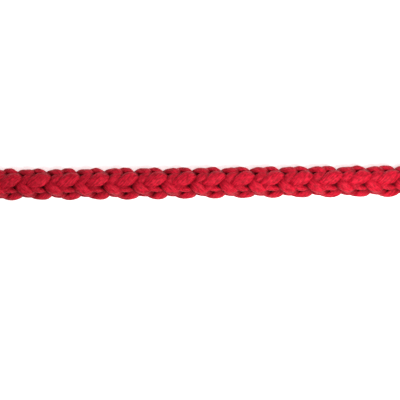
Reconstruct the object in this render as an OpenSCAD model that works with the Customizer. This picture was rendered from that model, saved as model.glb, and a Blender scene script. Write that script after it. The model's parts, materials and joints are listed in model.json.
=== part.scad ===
// Lead rope: a soft braided rope whose eye is clamped around the swivel ring of a bolt snap.
// Lengths are in millimetres. The rope lies along +X on the ground, which is z = 0.

/* [Rope] */
// Diameter of the braided rope over the crowns of its strands
rope_d = 14; // [13:0.25:14.5]
// Diameter of the rope where the eye and the clamps squeeze it
eye_rope_d = 12; // [11:0.25:12]
// Straight length between the two end loops of the tied hank
hank_straight = 140; // [130:5:170]
// Width between the two sides of an end loop, at the middle of the rope
hank_loop_w = 70; // [68:1:72]
// Number of turns lying on each other in the hank
hank_layers = 3; // [3:1:3]

/* [Rope clamps] */
// Length of each crimped clamp along the rope
clamp_length = 10; // [8:0.5:11]
// Wall thickness of a clamp
clamp_wall = 1.4; // [1:0.1:1.6]

/* [Swivel] */
// Diameter of the bar of the swivel ring
ring_bar_d = 4.6; // [4.2:0.1:4.8]
// Diameter of the hole of the swivel ring
ring_hole_d = 13; // [12.8:0.1:13.4]
// Diameter of the swivel shank
shank_d = 6; // [5.6:0.1:6.2]

/* [Snap] */
// Outer diameter of the barrel
barrel_d = 16; // [15.6:0.1:17]
// Diameter of the sliding bolt
bolt_d = 7; // [6.4:0.1:7.2]
// Travel of the sliding bolt
bolt_travel = 12; // [10:0.5:12]
// Inner diameter of the hook's bow
bow_hole_d = 19; // [18:0.5:19]
// Width of the bow's bar, in the plane of the hook
bow_bar_w = 8.5; // [7.5:0.5:8.5]
// Thickness of the bow's bar, across the plane of the hook
bow_bar_t = 9; // [8:0.5:9.5]

/* [Tie and whippings] */
// Width of the strap that ties the hank
tie_w = 20; // [16:1:25]
// Thickness of the strap
tie_t = 2; // [1.5:0.1:2]
// Length of a whipping
whipping_length = 8; // [6:0.5:8]

/* [Hidden] */
$fn = 64;

fit = 0.05;             // radial running clearance of a shaft in its hole
gap = 0.3;              // free space between pieces that move past each other

// Heights. The rope passes through the upright swivel ring, which stands on the ground.
rope_r = rope_d / 2;
eye_r = eye_rope_d / 2;
ring_r = ring_hole_d / 2 + ring_bar_d / 2;
axis_z = ring_hole_d / 2 + ring_bar_d;
clamp_z = eye_r + fit + clamp_wall;
leg_y = eye_r + 0.4;    // half the distance between the two legs of the eye

// Places along X, counted from the centre of the swivel ring.
boss_end = -ring_r - ring_bar_d / 2 - 1.2;
barrel_back = boss_end - gap;
barrel_front = -50;
collar_back = -17;
head_back = -19.8;
seat_front = -21;
bolt_back = -38;
bolt_shoulder = -45.6;
stud_x = -41.8;
bow_x = barrel_front - bow_hole_d / 2 + 1;
bow_y = -(bolt_d + bow_hole_d) / 2 - 0.5;
nose_x = barrel_front - bolt_travel;
bolt_tip = nose_x - 1.2;
clamp_front_x = 33;
clamp_rear_x = 48;

// Radii inside the barrel.
barrel_r = barrel_d / 2;
bolt_r = bolt_d / 2;
piston_r = bolt_r + 0.95;
counterbore_r = 6;
head_r = 5.2;
tenon_r = 1.8;
stud_r = 1.9;
tip_r = 2.6;

// The box of the snap, swivel and clamps, whose bottom centre is the origin.
hook_left = bow_x - bow_hole_d / 2 - bow_bar_w;
hook_low = bow_y - bow_hole_d / 2 - bow_bar_w;
clamp_half_w = leg_y + eye_r + fit + clamp_wall;
mid_x = (hook_left + clamp_rear_x + clamp_length) / 2;
mid_y = (hook_low + clamp_half_w) / 2;

// The rope's route from its short tail, round the ring, to where the hank begins: x, y, z, counted
// from the ring's centre. The two legs lie side by side in the clamps.
route = [
    [74, -7.6, 7.2], [66, -7.6, 7.2], [58.5, -6.4, 7.45], [53, -6.4, 7.45], [48, -6.4, 7.45], [43, -6.4, 7.45],
    [38, -6.4, 7.45], [32, -6.4, 7.45], [27, -8.4, 8.1], [23, -10.9, 8.8], [18, -12.8, 9.6], [13, -13.4, 10.2],
    [8, -12.2, 10.7], [4, -9.4, 11], [1.2, -5.2, 11.1], [0.2, -2, 11.1],
    [0.2, 2, 11.1], [1.2, 5.2, 11.1], [4, 9.4, 11], [8, 12.2, 10.7],
    [13, 13.4, 10.2], [18, 12.8, 9.6], [23, 10.9, 8.8], [27, 8.4, 8.1], [32, 6.4, 7.45],
    [38, 6.4, 7.45], [43, 6.4, 7.45], [48, 6.4, 7.45], [53, 6.4, 7.45], [58.5, 6.4, 7.45], [66, 7.4, 7.1],
    [78, 7.4, 7], [110, 7.4, 7], [145, 7.4, 7], [180, 7.4, 7], [215, 7.4, 7], [250, 7.4, 7], [280, 7.4, 7],
    [304, 7.4, 7]
];
route_end = route[len(route) - 1];
tail_end = route[0];
relaxed_x = 66;         // past this point the rope has its full diameter again

// The hank: racetrack turns lie on each other, and the tie pinches them together at their middle.
loop_r = hank_loop_w / 2;
hank_x = route_end[0] + hank_straight / 2;
hank_y = route_end[1] - loop_r;
hank_h = hank_layers * rope_d;
pinch_y = rope_r + 0.3;
top_z = hank_h + 5;     // the rope's end lies in the groove between the two upper runs
end_reach = 34;         // how far the rope's end passes the middle of the tie
top_start = 46;         // where the last run has reached that groove
whip_r = 0.8;           // thickness of a whipping's twine
tip_length = 2;

function unit(v) = v / norm(v);
function tangent(p, i) = unit(p[min(i + 1, len(p) - 1)] - p[max(i - 1, 0)]);
function radius_at(p) = p[1] < 0 || p[0] < relaxed_x ? eye_r : rope_r;
function ring_points(p, i, r, sides) =
    let (t = tangent(p, i), side = unit(cross([0, 0, 1], t)), up = cross(t, side))
    [for (k = [0:sides - 1]) p[i] + r * (cos(360 * k / sides) * side + sin(360 * k / sides) * up)];
function run_y(x) = pinch_y + (loop_r - pinch_y) * (1 - cos(360 * abs(x) / hank_straight)) / 2;

// Half the width of the bundle inside the tie.
tied_w = run_y(tie_w / 2) + rope_r + gap;

// A closed tube along the points p, with a ring of corners at each.
module tube(p, sides = 12) {
    n = len(p);
    polyhedron(
        points = [for (i = [0:n - 1]) each ring_points(p, i, radius_at(p[i]), sides)],
        faces = concat(
            [[for (k = [0:sides - 1]) k]],
            [for (i = [0:n - 2]) for (k = [0:sides - 1])
                [i * sides + k, (i + 1) * sides + k,
                 (i + 1) * sides + (k + 1) % sides, i * sides + (k + 1) % sides]],
            [[for (k = [sides - 1:-1:0]) (n - 1) * sides + k]]
        )
    );
}

// Puts children in the part's frame, at a place counted from the ring's centre.
module place(x = 0, y = 0, z = 0) {
    translate([x - mid_x, y - mid_y, z]) children();
}

// A cylinder along X from x0 to x1.
module rod(x0, x1, r) {
    translate([x0, 0, 0]) rotate([0, 90, 0]) cylinder(r = r, h = x1 - x0);
}

// A ring along X from x0 to x1.
module sleeve(x0, x1, r_out, r_in) {
    difference() {
        rod(x0, x1, r_out);
        rod(x0 - 1, x1 + 1, r_in);
    }
}

// A rectangle with round corners, its left edge on the Y axis.
module bar_section(w, t, r) {
    translate([r, -t / 2]) square([w - 2 * r, t]);
    translate([0, -t / 2 + r]) square([w, t - 2 * r]);
    for (x = [r, w - r]) for (y = [-t / 2 + r, t / 2 - r]) translate([x, y]) circle(r = r);
}

// Two round lobes with a narrower waist, for the clamp crimped over both legs.
module clamp_outline(r, waist) {
    for (s = [-1, 1]) translate([0, s * leg_y]) circle(r = r);
    translate([-waist, -leg_y]) square([2 * waist, 2 * leg_y]);
}

module clamp(x) {
    color("silver") place(x, 0, clamp_z) rotate([0, 90, 0]) linear_extrude(clamp_length) difference() {
        clamp_outline(eye_r + fit + clamp_wall, eye_r - 0.4);
        clamp_outline(eye_r + fit, eye_r - 0.4 - clamp_wall);
    }
}

module barrel_outside() {
    chamfer = 1;
    rotate([0, 90, 0]) rotate_extrude() polygon([
        [0, barrel_front], [barrel_r - chamfer, barrel_front], [barrel_r, barrel_front + chamfer],
        [barrel_r, barrel_back - chamfer], [barrel_r - chamfer, barrel_back], [0, barrel_back]
    ]);
}

module bow() {
    translate([bow_x, bow_y, 0]) rotate_extrude()
        translate([bow_hole_d / 2, 0]) bar_section(bow_bar_w, bow_bar_t, 2.5);
}

// The web that carries the bow's heel into the side of the barrel.
module heel() {
    translate([0, 0, -bow_bar_t / 2 + 1]) linear_extrude(bow_bar_t - 2) polygon([
        [-44, -6], [-33, -7], [-37, -9], [-40.6, -13], [-42, -18], [-47, -18]
    ]);
}

module stud_slot() {
    x0 = stud_x - 0.2;
    x1 = stud_x + bolt_travel + 0.2;
    w = stud_r + 0.2;
    for (x = [x0, x1]) translate([x, 0, 0]) cylinder(r = w, h = barrel_r + 2);
    translate([x0, -w, 0]) cube([x1 - x0, 2 * w, barrel_r + 2]);
}

module snap_body() {
    color("silver") place(0, 0, axis_z) difference() {
        union() {
            barrel_outside();
            bow();
            heel();
        }
        translate([nose_x, bow_y, -bow_bar_t]) cube([barrel_front - nose_x, 30, 2 * bow_bar_t]);
        rod(nose_x - 1.5, nose_x + 1, tip_r + 0.8);
        rod(barrel_front - 1, seat_front, bolt_r + fit);
        rod(bolt_shoulder - 0.4, seat_front, piston_r + fit);
        rod(seat_front, barrel_back + 1, counterbore_r);
        stud_slot();
    }
}

module snap_bolt() {
    color("silver") place(0, 0, axis_z) difference() {
        union() {
            rod(bolt_shoulder, bolt_back, piston_r);
            rod(nose_x + 1, bolt_shoulder, bolt_r);
            translate([bolt_tip, 0, 0]) rotate([0, 90, 0])
                cylinder(r1 = tip_r, r2 = bolt_r, h = nose_x + 1 - bolt_tip);
        }
        translate([stud_x, 0, 1]) cylinder(r = stud_r, h = piston_r);
    }
}

module thumb_stud() {
    knob_r = 4.2;
    color("silver") place(stud_x, 0, axis_z) {
        translate([0, 0, 1]) cylinder(r = stud_r, h = barrel_r + 0.2);
        translate([0, 0, barrel_r + 0.6]) rotate_extrude() {
            square([knob_r - 1, 3.2]);
            square([knob_r, 2.2]);
            translate([knob_r - 1, 2.2]) circle(r = 1);
        }
    }
}

module bolt_spring() {
    wire_r = 0.45;
    coil_r = 3.5;
    turns = 5;
    steps = 16;
    x0 = bolt_back + wire_r + 0.1;
    x1 = seat_front - wire_r - 0.1;
    n = turns * steps;
    path = [for (i = [0:n])
        [x0 + (x1 - x0) * i / n, coil_r * cos(360 * i / steps), coil_r * sin(360 * i / steps)]];
    sides = 8;
    color("gray") place(0, 0, axis_z) polyhedron(
        points = [for (i = [0:n]) let (out = unit([0, path[i][1], path[i][2]]),
            t = tangent(path, i), across = cross(t, out))
            each [for (k = [0:sides - 1])
                path[i] + wire_r * (cos(360 * k / sides) * across + sin(360 * k / sides) * out)]],
        faces = concat(
            [[for (k = [0:sides - 1]) k]],
            [for (i = [0:n - 1]) for (k = [0:sides - 1])
                [i * sides + k, (i + 1) * sides + k,
                 (i + 1) * sides + (k + 1) % sides, i * sides + (k + 1) % sides]],
            [[for (k = [sides - 1:-1:0]) n * sides + k]]
        )
    );
}

module spring_seat() {
    color("silver") place(0, 0, axis_z) sleeve(seat_front, seat_front + 1, counterbore_r, 1.5);
}

module swivel_ring() {
    color("silver") place(0, 0, axis_z) difference() {
        union() {
            rotate([90, 0, 0]) rotate_extrude() translate([ring_r, 0]) circle(r = ring_bar_d / 2);
            rod(boss_end, -ring_hole_d / 2, shank_d / 2 + 0.8);
            rod(collar_back - 0.2, boss_end, shank_d / 2);
            rod(head_back, collar_back - 0.2, tenon_r);
        }
        translate([0, 10, 0]) rotate([90, 0, 0]) cylinder(r = ring_hole_d / 2, h = 20);
    }
}

module swivel_head() {
    color("silver") place(0, 0, axis_z) sleeve(head_back, collar_back - 0.2, head_r, tenon_r);
}

module barrel_collar() {
    color("silver") place(0, 0, axis_z) sleeve(collar_back, barrel_back, counterbore_r, shank_d / 2 + fit);
}

module clamp_front() {
    clamp(clamp_front_x);
}

module clamp_rear() {
    clamp(clamp_rear_x);
}

module rope_lead() {
    color("crimson") place() tube(route);
}

// The outline of the hank seen from above, at its full width or pinched in by the tie.
module hank_outline() {
    steps = 24;
    half = [for (i = [0:steps]) let (x = hank_straight * (i / steps - 0.5)) [x, run_y(x) + rope_r]];
    polygon(concat(half, [for (i = [steps:-1:0]) [half[i][0], -half[i][1]]]));
    for (s = [-1, 1]) translate([s * hank_straight / 2, 0]) circle(r = loop_r + rope_r);
}

module rope_hank() {
    entry = [loop_r + rope_r, rope_d + 2, rope_d + gap];
    color("crimson") place(hank_x, hank_y, 0) difference() {
        union() {
            linear_extrude(hank_h) hank_outline();
            translate([0, 0, top_z]) rod(-top_start, end_reach, rope_r);
        }
        translate([-hank_straight / 2 - entry[0], loop_r - rope_r - 1, -1])
            cube([entry[0], entry[1], entry[2] + 1]);
        translate([-tie_w / 2 - 1, -40, -1]) cube([tie_w + 2, 80, tie_t + 1.2]);
        translate([0, 0, top_z]) rod(end_reach, hank_straight / 2, rope_r + whip_r);
    }
}

// Twine wound round the rope's short tail, beside the clamps.
module tail_whipping() {
    color("black") place(0, tail_end[1], tail_end[2])
        sleeve(tail_end[0] - whipping_length, tail_end[0], eye_r + whip_r, eye_r + fit);
}

module tail_tip() {
    color("maroon") place(0, tail_end[1], tail_end[2])
        rod(tail_end[0], tail_end[0] + tip_length, eye_r - 0.2);
}

module end_whipping() {
    color("black") place(hank_x, hank_y, top_z)
        rod(end_reach, end_reach + whipping_length, rope_r + 0.3);
}

module end_tip() {
    x = end_reach + whipping_length;
    color("maroon") place(hank_x, hank_y, top_z) rod(x, x + tip_length, rope_r - 0.6);
}

// Cross-section of the tied bundle, grown by t.
module bundle_section(t) {
    w = tied_w;
    hull() {
        for (y = [-w, w]) for (z = [tie_t + 0.1, hank_h + 0.2])
            translate([-z, y]) circle(r = max(t, 0.01), $fn = 24);
        translate([-top_z, 0]) circle(r = rope_r + gap + t, $fn = 48);
    }
}

module hank_tie() {
    color("dimgray") place(hank_x - tie_w / 2, hank_y, 0) rotate([0, 90, 0]) linear_extrude(tie_w) difference() {
        bundle_section(tie_t);
        bundle_section(0);
    }
}

// The strap's loose end, folded flat against the side of the tie.
module tie_tab() {
    color("dimgray") place(hank_x - tie_w / 2 + 1, hank_y - tied_w - 2 * tie_t, 8) cube([tie_w - 2, tie_t, 26]);
}

snap_body();
snap_bolt();
thumb_stud();
bolt_spring();
spring_seat();
swivel_ring();
swivel_head();
barrel_collar();
clamp_front();
clamp_rear();
rope_lead();
rope_hank();
tail_whipping();
tail_tip();
end_whipping();
end_tip();
hank_tie();
tie_tab();
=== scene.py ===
"""The looks of the lead rope: a braid of twelve yarn bundles round a core, its whippings, its tie
and the cast snap."""

import json
import math

import bpy
import numpy as np
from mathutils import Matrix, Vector


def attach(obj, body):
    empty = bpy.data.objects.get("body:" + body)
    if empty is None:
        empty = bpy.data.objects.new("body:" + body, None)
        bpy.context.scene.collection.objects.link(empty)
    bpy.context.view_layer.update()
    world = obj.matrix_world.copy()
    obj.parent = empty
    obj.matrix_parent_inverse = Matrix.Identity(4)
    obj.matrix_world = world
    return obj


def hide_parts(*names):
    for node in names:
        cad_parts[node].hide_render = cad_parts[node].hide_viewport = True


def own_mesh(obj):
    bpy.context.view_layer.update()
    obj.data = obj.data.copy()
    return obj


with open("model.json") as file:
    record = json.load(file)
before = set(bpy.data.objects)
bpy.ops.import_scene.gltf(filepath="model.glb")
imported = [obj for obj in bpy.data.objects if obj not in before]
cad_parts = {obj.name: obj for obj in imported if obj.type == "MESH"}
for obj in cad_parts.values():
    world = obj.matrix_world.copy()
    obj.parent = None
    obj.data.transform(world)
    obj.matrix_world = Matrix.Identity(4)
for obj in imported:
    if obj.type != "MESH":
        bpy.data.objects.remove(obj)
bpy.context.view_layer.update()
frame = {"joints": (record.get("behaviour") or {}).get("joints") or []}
scene = bpy.context.scene

MM = 0.001

# ---------------------------------------------------------------- driving sizes, in metres
ROPE_D = 14 * MM            # over the crowns of the strands
EYE_SQUEEZE = 12 / 14       # how much of its diameter the rope keeps in the eye and the clamps
BRAID_PITCH = 13.11 * MM    # from one crown to the next in a column of crowns
CARRIERS = 3                # carriers that turn one way; as many turn the other way
LAY = CARRIERS * BRAID_PITCH
HANK_STRAIGHT = 140 * MM
HANK_LOOP_R = 35 * MM
HANK_PINCH = 7.3 * MM       # half the distance between two runs under the tie
HANK_LAYERS = 3
END_REACH = 34 * MM         # how far the rope's end passes the tie's middle
WHIPPING = 8 * MM
TIP = 2 * MM
TIE_W = 20 * MM
STRAP_T = 1.5 * MM
TOP_RUN_Z = 48 * MM         # of the last run, which lies in the groove between the two upper ones
BOLT_BACK = -38 * MM        # where the spring meets the bolt, and its seat, from the ring's centre
SEAT_FRONT = -21 * MM
VIEW_W = 181 * MM           # how much of the rope's length the camera sees

# The rope's route from its short tail, round the swivel ring, to the hank: x, y, z in millimetres,
# counted from the ring's centre, with z from the ground. It is the route of part.scad.
ROUTE = [
    (74, -7.6, 7.2), (66, -7.6, 7.2), (58.5, -6.4, 7.45), (53, -6.4, 7.45), (48, -6.4, 7.45),
    (43, -6.4, 7.45), (38, -6.4, 7.45), (32, -6.4, 7.45), (27, -8.4, 8.1), (23, -10.9, 8.8),
    (18, -12.8, 9.6), (13, -13.4, 10.2), (8, -12.2, 10.7), (4, -9.4, 11), (1.2, -5.2, 11.1), (0.2, -2, 11.1),
    (0.2, 2, 11.1), (1.2, 5.2, 11.1), (4, 9.4, 11), (8, 12.2, 10.7),
    (13, 13.4, 10.2), (18, 12.8, 9.6), (23, 10.9, 8.8), (27, 8.4, 8.1), (32, 6.4, 7.45),
    (38, 6.4, 7.45), (43, 6.4, 7.45), (48, 6.4, 7.45), (53, 6.4, 7.45), (58.5, 6.4, 7.45), (66, 7.4, 7.1),
    (78, 7.4, 7), (110, 7.4, 7), (145, 7.4, 7), (180, 7.4, 7), (215, 7.4, 7), (250, 7.4, 7), (280, 7.4, 7),
    (304, 7.4, 7),
]

joints = {j["name"]: j for j in frame["joints"]}
ring_x, ring_y, ring_z = joints["ring_swing"]["pos_m"]
lead_y = ring_y + ROUTE[-1][1] * MM
route_end = np.array([ring_x + ROUTE[-1][0] * MM, lead_y, ROUTE[-1][2] * MM])
hank_mid = np.array([route_end[0] + HANK_STRAIGHT / 2, route_end[1] - HANK_LOOP_R, 0.0])
rope_r = ROPE_D / 2

# ---------------------------------------------------------------- camera, lights and floor
LENS, SENSOR = 135.0, 36.0      # long, so that the view is nearly flat
VIEW_MID_X = 178 * MM           # of the view, along the rope
ROPE_ABOVE_MIDDLE = 7.8735 * MM # how far the rope lies above the view's middle
ROPE_TILT = math.radians(0.52)  # how far the rope rises to the right
WORLD_POWER = 0.21
FLOOR_GLOW = 0.55
KEY_POWER = 0.54
KEY_SIZE = 0.06
KEY_ABOVE = 0.22                # near above the rope, so that the hank's shadow stays out of the view
KEY_BESIDE = 102 * MM           # to the right of the view's middle
FILL_POWER = 3.5
FILL_SIZE = 0.5
FILL_ABOVE = 1.1


def aim(obj, target):
    obj.rotation_euler = (Vector(target) - obj.location).to_track_quat("-Z", "Y").to_euler()


def make_camera():
    data = bpy.data.cameras.new("camera")
    data.lens, data.sensor_width = LENS, SENSOR
    data.clip_start, data.clip_end = 0.05, 20.0
    camera = bpy.data.objects.new("camera", data)
    scene.collection.objects.link(camera)
    camera.location = (VIEW_MID_X, lead_y - ROPE_ABOVE_MIDDLE, rope_r + VIEW_W * LENS / SENSOR)
    camera.rotation_euler = (0, 0, -ROPE_TILT)
    scene.camera = camera


def area_light(name, place, target, size, power):
    data = bpy.data.lights.new(name, "AREA")
    data.shape = "DISK"
    data.size = size
    data.energy = power
    light = bpy.data.objects.new(name, data)
    scene.collection.objects.link(light)
    light.location = place
    aim(light, target)


def make_stage():
    world = bpy.data.worlds.new("studio")
    scene.world = world
    world.use_nodes = True
    world.node_tree.nodes["Background"].inputs["Color"].default_value = (1, 1, 1, 1)
    world.node_tree.nodes["Background"].inputs["Strength"].default_value = WORLD_POWER
    bpy.ops.mesh.primitive_plane_add(size=8)
    floor = bpy.context.active_object
    floor.name = "floor"
    white = bpy.data.materials.new("floor_white")
    white.use_nodes = True
    shader = white.node_tree.nodes["Principled BSDF"]
    shader.inputs["Base Color"].default_value = (0.9, 0.9, 0.9, 1)
    shader.inputs["Roughness"].default_value = 0.9
    shader.inputs["Specular IOR Level"].default_value = 0.1
    # The floor glows a little, so that it stays white right up to the rope.
    shader.inputs["Emission Color"].default_value = (1, 1, 1, 1)
    shader.inputs["Emission Strength"].default_value = FLOOR_GLOW
    floor.data.materials.append(white)
    near_right = VIEW_MID_X + KEY_BESIDE
    near_side = lead_y - 50 * MM
    key_place = (near_right, near_side, KEY_ABOVE)
    area_light("key", key_place, (near_right - 0.03, lead_y, 0), KEY_SIZE, KEY_POWER)
    fill_place = (VIEW_MID_X + 0.1, near_side, FILL_ABOVE)
    area_light("fill", fill_place, (VIEW_MID_X, lead_y, 0), FILL_SIZE, FILL_POWER)


scene.view_settings.view_transform = "Standard"
make_camera()
make_stage()


# ---------------------------------------------------------------- the rope's centreline
def run_y(x):
    """Half the distance between the two sides of the hank, x from the tie's middle."""
    return HANK_PINCH + (HANK_LOOP_R - HANK_PINCH) * (1 - np.cos(2 * np.pi * np.abs(x) / HANK_STRAIGHT)) / 2


def smooth(t):
    t = np.clip(t, 0, 1)
    return t * t * (3 - 2 * t)


def hank_points():
    """The turns of the hank, from where the lead runs in to the rope's end on top of the bundle."""
    half = HANK_STRAIGHT / 2
    points = []

    def lift(x):
        return STRAP_T * np.exp(-(x / (0.8 * TIE_W)) ** 2)

    for layer in range(HANK_LAYERS):
        z = rope_r + layer * ROPE_D
        slack = (0, -2.5 * MM, 1.5 * MM)[layer]
        for x in np.linspace(-half, half, 24)[1:-1]:
            points.append((x, run_y(x), z + lift(x)))
        for a in np.linspace(90, -90, 18):
            points.append((half + (HANK_LOOP_R + slack) * math.cos(math.radians(a)),
                           HANK_LOOP_R * math.sin(math.radians(a)), z))
        for x in np.linspace(half, -half, 24)[1:-1]:
            points.append((x, -run_y(x), z + lift(x)))
        for a in np.linspace(-90, -270, 18):
            climb = smooth((-90 - a) / 180)
            points.append((-half + (HANK_LOOP_R - slack) * math.cos(math.radians(a)),
                           HANK_LOOP_R * math.sin(math.radians(a)), z + climb * ROPE_D))
    top = rope_r + HANK_LAYERS * ROPE_D
    groove = TOP_RUN_Z - top
    for x in np.linspace(-half, END_REACH + WHIPPING, 26)[1:]:
        inward = smooth((x + half) / (half - 4 * MM))
        points.append((x, run_y(-half) * (1 - inward), top + groove * inward))
    return [tuple(hank_mid + np.array(p)) for p in points]


def resample(points, step, passes=0):
    """The same line with points step apart, rounded off by averaging neighbours."""
    p = np.array(points, float)
    for again in range(passes + 1):
        along = np.concatenate([[0], np.cumsum(np.linalg.norm(np.diff(p, axis=0), axis=1))])
        even = np.linspace(0, along[-1], max(2, int(round(along[-1] / step)) + 1))
        p = np.stack([np.interp(even, along, p[:, k]) for k in range(3)], 1)
        if again < passes:
            p[1:-1] = (p[:-2] + p[1:-1] + p[2:]) / 3
    return p


def catmull(points, per=8):
    """A curve through every point."""
    p = np.array(points, float)
    p = np.concatenate([[2 * p[0] - p[1]], p, [2 * p[-1] - p[-2]]])
    out = []
    for i in range(1, len(p) - 2):
        a, b, c, d = p[i - 1], p[i], p[i + 1], p[i + 2]
        for t in np.arange(per) / per:
            out.append(0.5 * (2 * b + (c - a) * t + (2 * a - 5 * b + 4 * c - d) * t * t
                              + (3 * b - a - 3 * c + d) * t ** 3))
    out.append(p[-2])
    return np.array(out)


def rope_line():
    laid = [(ring_x + x * MM, ring_y + y * MM, z * MM) for x, y, z in ROUTE]
    return resample(catmull(laid + hank_points()), 0.5 * MM, passes=40)


line = rope_line()
along = np.concatenate([[0], np.cumsum(np.linalg.norm(np.diff(line, axis=0), axis=1))])
ROPE_LENGTH = float(along[-1])
UP = np.array([0.0, 0.0, 1.0])


def normed(v):
    return v / np.linalg.norm(v, axis=1, keepdims=True)


def frames_at(s):
    """Places and the rope's own directions at the lengths s: ahead, up and sideways."""
    place = np.stack([np.interp(s, along, line[:, k]) for k in range(3)], 1)
    ahead = normed(np.stack([np.interp(s, along, np.gradient(line[:, k], along)) for k in range(3)], 1))
    up = normed(UP - (ahead @ UP)[:, None] * ahead)
    return place, ahead, up, np.cross(up, ahead)


# Where the lead runs straight through the view, its length and x go up together.
lead = np.flatnonzero((np.abs(line[:, 1] - lead_y) < 0.05 * MM) & (line[:, 0] > 0.08) & (along < 0.5))
s_of_x = float(along[lead[0]] - line[lead[0], 0])
VIEW_LEFT = VIEW_MID_X - VIEW_W / 2
VIEW_RIGHT = VIEW_MID_X + VIEW_W / 2
FINE, COARSE = 0.4 * MM, 1.2 * MM


def lengths():
    """Rings close together where the camera looks, and further apart elsewhere."""
    a, b = s_of_x + VIEW_LEFT - 5 * MM, s_of_x + VIEW_RIGHT + 5 * MM
    return np.concatenate([np.arange(0, a, COARSE), np.arange(a, b, FINE), np.arange(b, ROPE_LENGTH, COARSE)])


EYE_TO = 58 * MM            # from the ring's centre, where the rope starts to come back to its full size
EYE_FADE = 8 * MM           # and over which length it does so
TAIL_REACH = 60 * MM        # the short tail and the clamps, from the rope's start
END_FROM = 14 * MM          # before the rope's end, where the whipping starts to squeeze it
END_FADE = 6 * MM
END_SQUEEZE = 0.8           # how much the whipping squeezes it, as a share of what the eye does


def squeeze(s):
    """How thick the rope is at s, as a share of its full diameter."""
    x = np.interp(s, along, line[:, 0]) - ring_x
    eye = 1 - smooth((x - EYE_TO) / EYE_FADE)
    eye[s > s_of_x + VIEW_LEFT] = 0
    eye[s < TAIL_REACH] = 1
    end = smooth((s - (ROPE_LENGTH - END_FROM)) / END_FADE)
    return 1 - (1 - EYE_SQUEEZE) * np.maximum(eye, END_SQUEEZE * end)


# ---------------------------------------------------------------- the braid
S_COLUMN = 21.5             # degrees from straight up to the column where the right-handed ends lie on top
Z_DROP = 1.5                # how many degrees lower than midway the left-handed ends have their column
S_PHASE = 0.25              # where in the pitch a carrier of theirs crosses it, from the view's left edge
Z_PHASE = 0.75              # the same for the left-handed ends in their own column
TWIN = 0.23                 # half the distance between the two ends of a carrier, in pitches
MEAN_R = 3.80 * MM          # of an end's middle, from the rope's axis
DIP = 1.55 * MM             # how far an end rises over and dips under the others

# For each hand and each of a carrier's two ends: half its width and half its thickness in mm, how far
# it stands out beyond the others in mm, how much longer than half of its way it stays up, how far it is
# shifted along the rope, in pitches, and how far its highest place is from its carrier's, as a share of
# a crossing. The four kinds aren't alike, and one of them is the largest.
END_SIZES = {
    (1, 1): (2.85, 1.85, 0.05, 0.34, -0.03, 0.55),
    (1, -1): (2.10, 1.55, -0.45, -0.05, -0.07, 0.3),
    (-1, 1): (2.40, 1.75, 0.00, -0.10, -0.01, 0.35),
    (-1, -1): (1.80, 1.55, 0.00, -0.05, -0.10, -0.60),
}
# The rope isn't quite round: its two sides swell in step with the crowns.
SIDE_SWELL = {1: (0.06, 0.30), -1: (0.04, 0.34)}
# The creases between the crowns, once in each pitch: degrees from straight up, place in the pitch, the
# two half-widths of the crease in degrees and in pitches, and its depth as a share of the radius.
CREASES = (
    (-18, 0.30, 5, 0.20, 0.22),
    (-53, 0.39, 8, 0.22, 0.24),
    (0, 0.89, 5, 0.10, 0.07),
    (25, 0.83, 7, 0.06, 0.08),
    (55, 0.68, 8, 0.10, 0.10),
)
AROUND = 24                 # points round an end
PLIES = 5                   # ridges that its plies make round it
PLY_TURN = 9 * MM           # the length in which they go round it once
CORE_R = 3.3 * MM


def wander(s, size, wave, seed):
    """A smooth random swing along the rope."""
    r = np.random.default_rng(seed)
    waves = [np.sin(2 * np.pi * s / (wave * k) + r.uniform(0, 6.28)) for k in (0.7, 1.0, 1.6, 2.7)]
    return size * sum(waves) / 2


def tube_mesh(name, rings, uv_u, depth=None):
    """A mesh tube from rings of points. depth has one value for each point, and its material reads it to
    paint shade into the colour.
    """
    n, m = rings.shape[:2]
    verts = rings.reshape(-1, 3)
    i, k = np.meshgrid(np.arange(n - 1), np.arange(m), indexing="ij")
    k2 = (k + 1) % m
    quads = np.stack([i * m + k, i * m + k2, (i + 1) * m + k2, (i + 1) * m + k], -1).reshape(-1, 4)
    mesh = bpy.data.meshes.new(name)
    mesh.vertices.add(len(verts))
    mesh.vertices.foreach_set("co", verts.astype(np.float32).ravel())
    around = np.arange(m)
    loops = np.concatenate([quads.ravel(), around[::-1], (n - 1) * m + around])
    starts = np.concatenate([np.arange(len(quads)) * 4, [len(quads) * 4, len(quads) * 4 + m]])
    totals = np.concatenate([np.full(len(quads), 4), [m, m]])
    mesh.loops.add(len(loops))
    mesh.loops.foreach_set("vertex_index", loops.astype(np.int32))
    mesh.polygons.add(len(starts))
    mesh.polygons.foreach_set("loop_start", starts.astype(np.int32))
    mesh.polygons.foreach_set("loop_total", totals.astype(np.int32))
    mesh.polygons.foreach_set("use_smooth", np.ones(len(starts), bool))
    uv = mesh.uv_layers.new(name="along")
    u0, u1 = uv_u[i.ravel()], uv_u[i.ravel() + 1]
    v0, v1 = k.ravel() / m, (k.ravel() + 1) / m
    quad_uv = np.stack([u0, v0, u0, v1, u1, v1, u1, v0], -1).reshape(-1)
    cap_uv = np.zeros(2 * m * 2)
    uv.data.foreach_set("uv", np.concatenate([quad_uv, cap_uv]).astype(np.float32))
    if depth is not None:
        flat = depth.reshape(-1)[loops]
        mesh.uv_layers.new(name="depth").data.foreach_set("uv", np.repeat(flat, 2).astype(np.float32))
    mesh.update(calc_edges=True)
    mesh.validate()
    piece = bpy.data.objects.new(name, mesh)
    scene.collection.objects.link(piece)
    return piece


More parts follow.
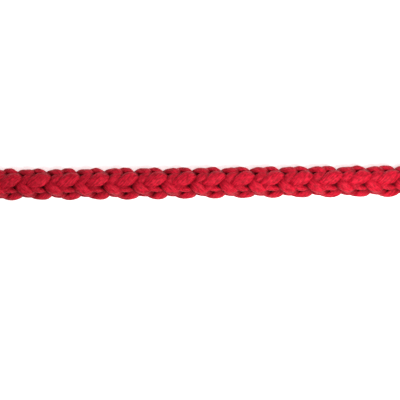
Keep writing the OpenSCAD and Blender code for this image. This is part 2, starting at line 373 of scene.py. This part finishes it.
def creased(rings, s, place, up, sideways):
    """The rings of one end, pressed in at the creases."""
    off = rings - place[:, None]
    round_ = np.degrees(np.arctan2((off * sideways[:, None]).sum(2), (off * up[:, None]).sum(2)))
    pitch = ((s - s_of_x - VIEW_LEFT) / BRAID_PITCH)[:, None]
    keep = np.ones(round_.shape)
    for degrees, at, wide, long, depth in CREASES:
        turn = (round_ - degrees + 180) % 360 - 180
        step = (pitch - at + 0.5) % 1 - 0.5
        keep -= depth * np.exp(-((turn / wide) ** 2 + (step / long) ** 2) / 2)
    return place[:, None] + off * keep[..., None]


def braid_end(name, hand, carrier, twin):
    """One of the braid's ends. hand is 1 or -1, carrier counts round the rope, twin is -1 or 1."""
    s = lengths()
    place, ahead, up, sideways = frames_at(s)
    half_w, half_t, proud, longer, shift, early = END_SIZES[hand, twin]
    turn = 360.0 / LAY
    column = S_COLUMN if hand > 0 else S_COLUMN - 180.0 / CARRIERS - Z_DROP
    phase = S_PHASE if hand > 0 else Z_PHASE
    cross_at = s_of_x + VIEW_LEFT + (phase + shift + carrier + twin * TWIN) * BRAID_PITCH
    seed = 100 + 40 * (hand > 0) + 4 * carrier + (twin > 0)
    angle = column + hand * turn * (s - cross_at) + wander(s, 2.0, 0.031, seed)
    middle = column - hand * twin * early * 45.0 / CARRIERS
    wave = np.cos(np.radians(CARRIERS * (angle - middle))) + longer
    wave = np.tanh(1.6 * wave) / math.tanh(1.6)
    thick = squeeze(s)
    rise = DIP * wave
    out_r = thick * (MEAN_R + proud * MM + rise + wander(s, 0.10 * MM, 0.017, seed + 1))
    for side, (swell, at) in SIDE_SWELL.items():
        facing = np.clip(side * np.sin(np.radians(angle)), 0, 1) ** 4
        step = (s - s_of_x - VIEW_LEFT) / BRAID_PITCH - at
        out_r = out_r * (1 + swell * facing * np.cos(2 * np.pi * step))
    a = np.radians(angle)[:, None]
    out = np.cos(a) * up + np.sin(a) * sideways
    middle_line = place + out_r[:, None] * out
    forward = normed(np.gradient(middle_line, s, axis=0))
    across = normed(np.cross(forward, out))
    top = np.cross(across, forward)
    # An end spreads flat where it lies on top, and is squeezed narrow where it dives.
    w = thick * half_w * MM * (1 + 0.10 * wave + wander(s, 0.03, 0.012, seed + 2))
    t = thick * half_t * MM * (1 - 0.06 * wave + wander(s, 0.03, 0.014, seed + 3))
    psi = 2 * np.pi * np.arange(AROUND) / AROUND - np.pi / 2
    ply = 1 + 0.05 * np.cos(PLIES * psi[None, :] + 2 * np.pi * s[:, None] / PLY_TURN)
    c, d = np.cos(psi)[None, :] * ply, np.sin(psi)[None, :] * ply
    rings = (middle_line[:, None] + (w[:, None] * c)[..., None] * across[:, None]
             + (t[:, None] * d)[..., None] * top[:, None])
    rings = creased(rings, s, place, up, sideways)
    # How far each point lies out from the rope's axis; the rope's material paints shade into the colour where
    # this is small.
    reach = np.linalg.norm(rings - place[:, None], axis=2) / (thick[:, None] * ROPE_D / 2)
    return tube_mesh(name, rings, s / MM, depth=reach)


def make_braid():
    ends = []
    for hand, word in ((1, "right"), (-1, "left")):
        for carrier in range(CARRIERS):
            for twin, letter in ((-1, "a"), (1, "b")):
                ends.append(braid_end(f"braid_{word}_{carrier + 1}{letter}", hand, carrier, twin))
    return ends


def make_core():
    s = np.arange(0, ROPE_LENGTH, 3 * MM)
    place, ahead, up, sideways = frames_at(s)
    psi = 2 * np.pi * np.arange(14) / 14
    r = (squeeze(s) * CORE_R)[:, None]
    rings = (place[:, None] + (r * np.cos(psi))[..., None] * up[:, None]
             + (r * np.sin(psi))[..., None] * sideways[:, None])
    return tube_mesh("rope_core", rings, s / MM)


ends = make_braid()
core = make_core()


# ---------------------------------------------------------------- what is on the rope
TWINE_R = 0.55 * MM
TWINE_STEP = 1.04 * MM      # from one turn of twine to the next
TAIL_TWINE_R = 6.8 * MM     # of the whippings, outside
END_TWINE_R = 7.3 * MM
TAIL_CAP_R = 6.2 * MM
END_CAP_R = 6.5 * MM
TAB_TOP = 36 * MM           # of the strap's loose end, from the ground
TAB_LENGTH = 28 * MM


def whipping(name, start, stop, out_r):
    """Twine wound tightly round the rope between two lengths along it."""
    wire = TWINE_R
    turns = (stop - start - 2 * wire) / TWINE_STEP
    s = np.linspace(start + wire, stop - wire, int(turns * 30))
    place, ahead, up, sideways = frames_at(s)
    angle = np.linspace(0, 2 * np.pi * turns, len(s))[:, None]
    out = np.cos(angle) * up + np.sin(angle) * sideways
    centre = place + (out_r - wire) * out
    forward = normed(np.gradient(centre, axis=0))
    side = np.cross(forward, out)
    psi = 2 * np.pi * np.arange(10) / 10
    rings = (centre[:, None] + (wire * np.cos(psi))[None, :, None] * out[:, None]
             + (wire * np.sin(psi))[None, :, None] * side[:, None])
    return tube_mesh(name, rings, angle[:, 0] * out_r / MM)


def melted_tip(name, at_start, r):
    """The rope's end, melted into a lumpy cap."""
    s = np.array([0.0 if at_start else ROPE_LENGTH])
    place, ahead, up, sideways = frames_at(s)
    outward = -ahead[0] if at_start else ahead[0]
    across = sideways[0] if at_start else -sideways[0]
    t = np.linspace(0, 1, 14)
    phi = 2 * np.pi * np.arange(40) / 40
    radius = r * (1 - t ** 4) ** 0.5 + 0.02 * MM
    height = -0.8 * MM + (TIP + 0.8 * MM) * np.sin(t * np.pi / 2)
    lump = 1 + 0.035 * np.sin(5 * phi + 1.0) + 0.025 * np.sin(9 * phi + 2.2)
    rings = (place[0] + height[:, None, None] * outward
             + (radius[:, None] * lump * np.cos(phi))[..., None] * up[0]
             + (radius[:, None] * lump * np.sin(phi))[..., None] * across)
    return tube_mesh(name, rings, t)


def hull_outline(circles, grow, steps=160):
    """The outline round some circles in a plane, as evenly spaced points that start at the bottom."""
    a = np.linspace(-np.pi / 2, 1.5 * np.pi, 2400, endpoint=False)
    ray = np.stack([np.cos(a), np.sin(a)], 1)
    reach = np.max([ray @ np.array([y, z]) + r + grow for y, z, r in circles], axis=0)
    slope = np.gradient(reach, a)
    loop = ray * reach[:, None] + np.stack([-np.sin(a), np.cos(a)], 1) * slope[:, None]
    closed = np.concatenate([loop, loop[:1]])
    way = np.concatenate([[0], np.cumsum(np.linalg.norm(np.diff(closed, axis=0), axis=1))])
    even = np.linspace(0, way[-1], steps + 1)
    return np.stack([np.interp(even, way, closed[:, k]) for k in range(2)], 1), way[-1]


def strap_rings(mid, out, wide, half_t):
    """Cross-sections of a flat strap with soft edges."""
    psi = 2 * np.pi * np.arange(36) / 36 - np.pi / 2
    c = np.sign(np.cos(psi)) * np.abs(np.cos(psi)) ** 0.35 * wide / 2
    d = np.sign(np.sin(psi)) * np.abs(np.sin(psi)) ** 0.6 * half_t
    across = np.array([1.0, 0, 0])
    return mid[:, None] + c[None, :, None] * across + d[None, :, None] * out[:, None]


def tie_outline():
    side = float(run_y(0.35 * TIE_W))
    layers = (0, HANK_LAYERS - 1)
    rows = [(y, rope_r + STRAP_T + layer * ROPE_D, rope_r) for layer in layers for y in (-side, side)]
    return hull_outline(rows + [(0.0, TOP_RUN_Z, rope_r)], 0.1 * MM + STRAP_T / 2)


def make_tie():
    loop, girth = tie_outline()
    mid = np.stack([np.full(len(loop), hank_mid[0]), hank_mid[1] + loop[:, 0], loop[:, 1]], 1)
    way = np.roll(loop[:-1], -1, 0) - np.roll(loop[:-1], 1, 0)
    way = np.concatenate([way, way[:1]])
    out = normed(np.stack([np.zeros(len(loop)), way[:, 1], -way[:, 0]], 1))
    rings = strap_rings(mid, out, TIE_W, STRAP_T / 2)
    return tube_mesh("hank_strap", rings, np.linspace(0, girth / MM, len(loop)))


def make_tab():
    """The strap's loose end, turned down the side of the tie and standing off a little at its end."""
    side = float(run_y(0.35 * TIE_W)) + rope_r + 0.1 * MM + STRAP_T
    t = np.linspace(0, 1, 40)
    z = TAB_TOP - TAB_LENGTH * t
    y = -side - STRAP_T * 0.5 - 0.1 * MM - 1.6 * MM * smooth((t - 0.55) / 0.45)
    mid = np.stack([np.full(len(t), hank_mid[0]), hank_mid[1] + y, z], 1)
    forward = normed(np.gradient(mid, axis=0))
    out = np.cross(forward, np.array([1.0, 0, 0]))
    rings = strap_rings(mid, out, TIE_W - 2 * MM, STRAP_T / 2)
    # Its end is cut round, and sealed.
    round_off = np.sqrt(np.clip(1 - np.clip((t - 0.86) / 0.14, 0, 1) ** 2 * 0.75, 0, 1))
    rings = mid[:, None] + (rings - mid[:, None]) * np.stack(
        [round_off, np.ones(len(t)), np.ones(len(t))], 1)[:, None]
    return tube_mesh("strap_tab", rings, t * TAB_LENGTH / MM)


def make_spring():
    """The spring behind the bolt: five turns between the bolt's back and its seat."""
    turns, wire, coil = 5, 0.45 * MM, 3.5 * MM
    a = np.linspace(0, 2 * np.pi * turns, turns * 36 + 1)
    # The end turns are wound close, so that the spring stands flat.
    share = a / a[-1]
    share = share - 0.055 * np.sin(2 * np.pi * share)
    share = (share - share[0]) / (share[-1] - share[0])
    x = BOLT_BACK + wire + 0.1 * MM + share * (SEAT_FRONT - BOLT_BACK - 2 * wire - 0.2 * MM)
    centre = np.stack([ring_x + x, ring_y + coil * np.cos(a), ring_z + coil * np.sin(a)], 1)
    out = np.stack([np.zeros(len(a)), np.cos(a), np.sin(a)], 1)
    forward = normed(np.gradient(centre, axis=0))
    side = np.cross(forward, out)
    psi = 2 * np.pi * np.arange(12) / 12
    rings = (centre[:, None] + (wire * np.cos(psi))[None, :, None] * out[:, None]
             + (wire * np.sin(psi))[None, :, None] * side[:, None])
    return tube_mesh("wound_spring", rings, a)


spring = make_spring()
tail_twine = whipping("tail_twine", 0.0, WHIPPING, TAIL_TWINE_R)
end_twine = whipping("end_twine", ROPE_LENGTH - WHIPPING, ROPE_LENGTH, END_TWINE_R)
tail_cap = melted_tip("tail_cap", True, TAIL_CAP_R)
end_cap = melted_tip("end_cap", False, END_CAP_R)
strap = make_tie()
tab = make_tab()


# ---------------------------------------------------------------- materials
def new_material(name):
    m = bpy.data.materials.new(name)
    m.use_nodes = True
    return m, m.node_tree, m.node_tree.nodes["Principled BSDF"]


def node(tree, kind, **values):
    n = tree.nodes.new(kind)
    for k, v in values.items():
        if hasattr(n, k):
            setattr(n, k, v)
        else:
            n.inputs[k.replace("_", " ")].default_value = v
    return n


def two_colours(tree, source, low, high, from_=0.35, to=0.65):
    ramp = node(tree, "ShaderNodeValToRGB")
    ramp.color_ramp.elements[0].position = from_
    ramp.color_ramp.elements[0].color = (*low, 1)
    ramp.color_ramp.elements[1].position = to
    ramp.color_ramp.elements[1].color = (*high, 1)
    tree.links.new(source, ramp.inputs["Fac"])
    return ramp.outputs["Color"]


def add_bump(tree, shader, source, strength, distance):
    bump = node(tree, "ShaderNodeBump", Strength=strength, Distance=distance)
    tree.links.new(source, bump.inputs["Height"])
    tree.links.new(bump.outputs["Normal"], shader.inputs["Normal"])


def along_noise(tree, scale, detail=3.0):
    """Noise that runs along a tube: scale is along it per millimetre, and across it."""
    uv = node(tree, "ShaderNodeUVMap", uv_map="along")
    spread = node(tree, "ShaderNodeMapping")
    spread.inputs["Scale"].default_value = (*scale, 1.0)
    tree.links.new(uv.outputs["UV"], spread.inputs["Vector"])
    noise = node(tree, "ShaderNodeTexNoise", Scale=1.0, Detail=detail, Roughness=0.6)
    tree.links.new(spread.outputs["Vector"], noise.inputs["Vector"])
    return noise.outputs["Fac"]


def object_noise(tree, scale, detail=2.0):
    place = node(tree, "ShaderNodeTexCoord")
    noise = node(tree, "ShaderNodeTexNoise", Scale=scale, Detail=detail)
    tree.links.new(place.outputs["Object"], noise.inputs["Vector"])
    return noise.outputs["Fac"]


def blend_of(tree, a, b, share):
    mix = node(tree, "ShaderNodeMath", operation="MULTIPLY_ADD")
    tree.links.new(a, mix.inputs[0])
    mix.inputs[1].default_value = share
    tree.links.new(b, mix.inputs[2])
    return mix.outputs["Value"]


ROPE_DARK = (0.31, 0.0028, 0.012)
ROPE_LIGHT = (0.70, 0.011, 0.036)


def rope_material():
    m, tree, shader = new_material("rope_yarn")
    fine = along_noise(tree, (0.55, 34.0))
    broad = object_noise(tree, 900.0)
    both = blend_of(tree, broad, fine, 0.45)
    colour = two_colours(tree, both, ROPE_DARK, ROPE_LIGHT, 0.60, 0.86)
    # Painted shade: the yarn's colour is darkened between the crowns, where a point lies deep towards the
    # rope's axis, so it is darker there than on the crowns.
    uv = node(tree, "ShaderNodeUVMap", uv_map="depth")
    split = node(tree, "ShaderNodeSeparateXYZ")
    tree.links.new(uv.outputs["UV"], split.inputs["Vector"])
    painted_shade = two_colours(tree, split.outputs["X"], (0.34, 0.26, 0.28), (1, 1, 1), 0.68, 0.92)
    shaded_colour = node(tree, "ShaderNodeMix", data_type="RGBA", blend_type="MULTIPLY")
    shaded_colour.inputs["Factor"].default_value = 1.0
    tree.links.new(colour, shaded_colour.inputs["A"])
    tree.links.new(painted_shade, shaded_colour.inputs["B"])
    tree.links.new(shaded_colour.outputs["Result"], shader.inputs["Base Color"])
    add_bump(tree, shader, fine, 0.5, 0.00012)
    shader.inputs["Roughness"].default_value = 0.62
    shader.inputs["Specular IOR Level"].default_value = 0.10
    shader.inputs["Sheen Weight"].default_value = 0.04
    shader.inputs["Sheen Roughness"].default_value = 0.45
    shader.inputs["Sheen Tint"].default_value = (1.0, 0.45, 0.5, 1)
    return m


def twine_material():
    m, tree, shader = new_material("waxed_twine")
    fine = along_noise(tree, (2.2, 9.0))
    tree.links.new(two_colours(tree, fine, (0.012, 0.012, 0.013), (0.035, 0.034, 0.036)),
                   shader.inputs["Base Color"])
    add_bump(tree, shader, fine, 0.6, 0.0001)
    shader.inputs["Roughness"].default_value = 0.5
    return m


def melted_material():
    m, tree, shader = new_material("melted_yarn")
    lumps = object_noise(tree, 700.0, 3.0)
    tree.links.new(two_colours(tree, lumps, (0.10, 0.004, 0.008), (0.22, 0.008, 0.014)),
                   shader.inputs["Base Color"])
    add_bump(tree, shader, lumps, 0.6, 0.0004)
    shader.inputs["Roughness"].default_value = 0.3
    return m


def webbing_material():
    """Plain-woven tape: ribs along it, crossed by the picks of the weft."""
    m, tree, shader = new_material("woven_tape")
    uv = node(tree, "ShaderNodeUVMap", uv_map="along")
    split = node(tree, "ShaderNodeSeparateXYZ")
    tree.links.new(uv.outputs["UV"], split.inputs["Vector"])
    picks = node(tree, "ShaderNodeMath", operation="MULTIPLY")
    tree.links.new(split.outputs["X"], picks.inputs[0])
    picks.inputs[1].default_value = 2 * math.pi / 1.3
    ribs = node(tree, "ShaderNodeMath", operation="MULTIPLY")
    tree.links.new(split.outputs["Y"], ribs.inputs[0])
    ribs.inputs[1].default_value = 2 * math.pi * 34
    waves = []
    for source in (picks, ribs):
        wave = node(tree, "ShaderNodeMath", operation="SINE")
        tree.links.new(source.outputs["Value"], wave.inputs[0])
        waves.append(wave)
    weave = node(tree, "ShaderNodeMath", operation="MULTIPLY")
    tree.links.new(waves[0].outputs["Value"], weave.inputs[0])
    tree.links.new(waves[1].outputs["Value"], weave.inputs[1])
    noise = along_noise(tree, (1.4, 30.0))
    height = blend_of(tree, weave.outputs["Value"], noise, 0.35)
    tree.links.new(two_colours(tree, height, (0.010, 0.010, 0.012), (0.040, 0.040, 0.045), 0.2, 0.9),
                   shader.inputs["Base Color"])
    add_bump(tree, shader, height, 0.8, 0.0003)
    shader.inputs["Roughness"].default_value = 0.75
    shader.inputs["Sheen Weight"].default_value = 0.2
    return m


def metal_material(name, low, high, rough_from, rough_to, grain, depth):
    """Plated or plain metal: faint colour changes, uneven polish and a fine grain."""
    m, tree, shader = new_material(name)
    cloud = object_noise(tree, 90.0, 4.0)
    tree.links.new(two_colours(tree, cloud, low, high), shader.inputs["Base Color"])
    polish = node(tree, "ShaderNodeMapRange")
    tree.links.new(cloud, polish.inputs["Value"])
    polish.inputs["To Min"].default_value = rough_from
    polish.inputs["To Max"].default_value = rough_to
    tree.links.new(polish.outputs["Result"], shader.inputs["Roughness"])
    add_bump(tree, shader, object_noise(tree, grain, 3.0), 0.35, depth)
    shader.inputs["Metallic"].default_value = 1.0
    return m


cast_nickel = metal_material(
    "cast_nickel", (0.56, 0.53, 0.49), (0.68, 0.65, 0.60), 0.18, 0.34, 900.0, 0.00006)
turned_nickel = metal_material(
    "turned_nickel", (0.62, 0.60, 0.56), (0.72, 0.70, 0.66), 0.14, 0.24, 1800.0, 0.00003)
spring_wire = metal_material(
    "spring_wire", (0.34, 0.34, 0.35), (0.45, 0.45, 0.46), 0.25, 0.38, 1500.0, 0.00003)
crimped_zinc = metal_material(
    "crimped_zinc", (0.50, 0.51, 0.52), (0.62, 0.63, 0.64), 0.26, 0.45, 700.0, 0.00006)

for name, metal in (
    ("snap_body", cast_nickel), ("barrel_collar", turned_nickel), ("swivel_ring", cast_nickel),
    ("swivel_head", turned_nickel), ("snap_bolt", turned_nickel), ("thumb_stud", turned_nickel),
    ("bolt_spring", spring_wire), ("spring_seat", spring_wire),
    ("clamp_front", crimped_zinc), ("clamp_rear", crimped_zinc),
):
    for place_of in bpy.data.objects[name].material_slots:
        place_of.material = metal

for pieces, material, slot, nodes in (
    (ends + [core], rope_material(), "rope_red", ("rope_lead", "rope_hank")),
    ([tail_twine], twine_material(), "whipping_twine", ("tail_whipping",)),
    ([end_twine], bpy.data.materials["waxed_twine"], "whipping_twine", ("end_whipping",)),
    ([tail_cap], melted_material(), "melted_end", ("tail_tip",)),
    ([end_cap], bpy.data.materials["melted_yarn"], "melted_end", ("end_tip",)),
    ([strap], webbing_material(), "tie_webbing", ("hank_tie",)),
    ([tab], bpy.data.materials["woven_tape"], "tie_webbing", ("tie_tab",)),
):
    for piece in pieces:
        piece.data.materials.append(material)
        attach(piece, "rope")
        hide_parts(*nodes)

spring.data.materials.append(spring_wire)
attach(spring, "snap")
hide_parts("bolt_spring")
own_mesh(spring)
